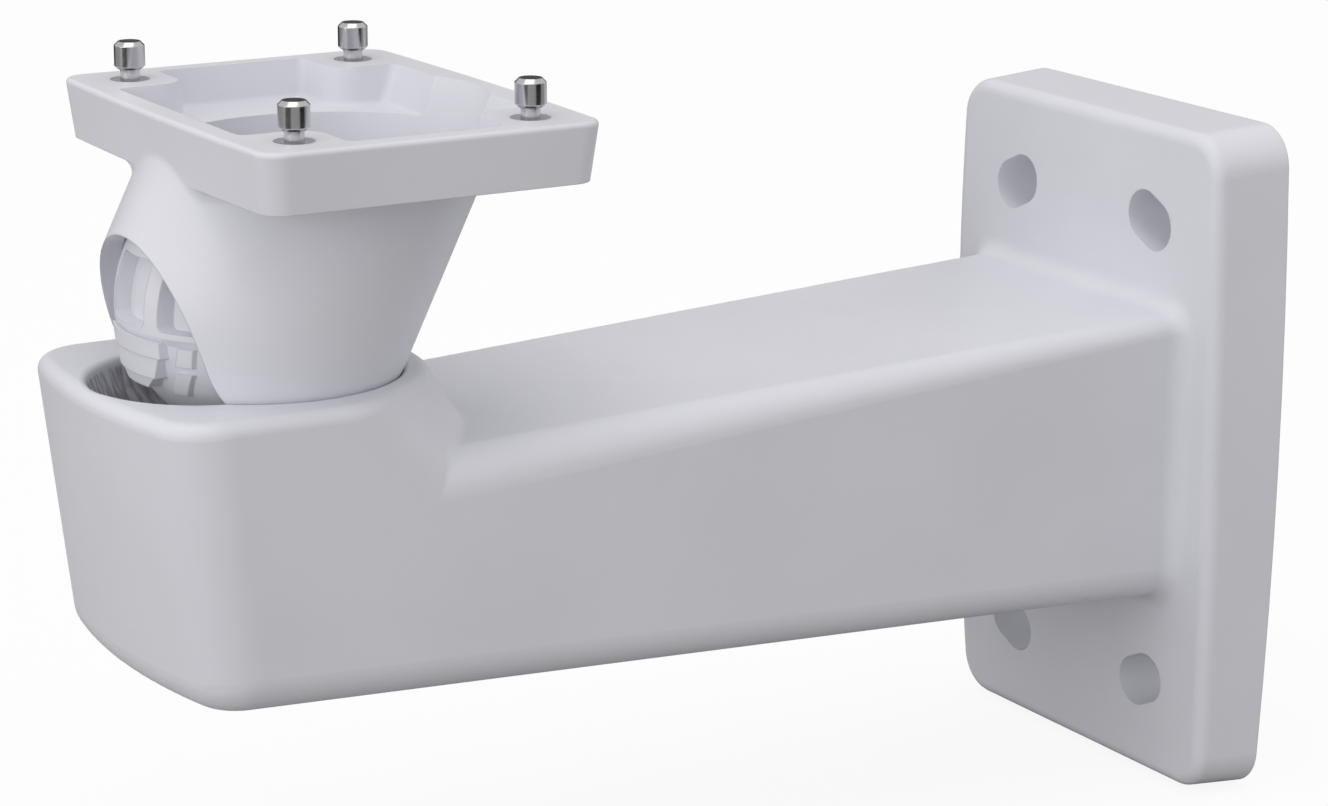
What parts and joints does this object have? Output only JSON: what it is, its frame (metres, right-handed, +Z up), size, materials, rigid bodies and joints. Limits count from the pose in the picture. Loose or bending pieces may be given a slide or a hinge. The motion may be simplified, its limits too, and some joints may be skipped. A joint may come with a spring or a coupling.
{
  "type": "camera wall bracket",
  "caption": "Wall bracket for a security camera: hollow arm with a wall plate, and a clamped ball joint that carries a camera plate with captive screws.",
  "frame": {"origin": "centre of the wall plate's back face, midway between the four wall slots", "axes": "+X into the wall, so the arm runs out along -X; +Y across; +Z up"},
  "size_m": [0.2582, 0.0988, 0.1747],
  "materials": {
    "coated_casting": "light grey-white fine powder coat",
    "bolt_steel": "zinc-plated steel, dull",
    "stainless": "turned stainless steel"
  },
  "bodies": {
    "arm": {"arm_casting": "coated_casting", "clamp_bolt": "bolt_steel", "clamp_washer": "bolt_steel", "spring_washer": "bolt_steel"},
    "clamp": {"clamp_cup": "coated_casting"},
    "swivel": {"swivel_neck": "coated_casting", "captive_screw_1": "stainless", "captive_screw_2": "stainless", "captive_screw_3": "stainless", "captive_screw_4": "stainless"}
  },
  "joints": [
    {"name": "pan", "type": "hinge", "parent": "arm", "child": "clamp", "pos_m": [-0.2202, 0, 0.0531], "axis": [0, 0, 1], "continuous": true},
    {"name": "tilt", "type": "hinge", "parent": "clamp", "child": "swivel", "pos_m": [-0.2202, 0, 0.0531], "axis": [0, -1, 0], "range_deg": [0, 30]}
  ]
}
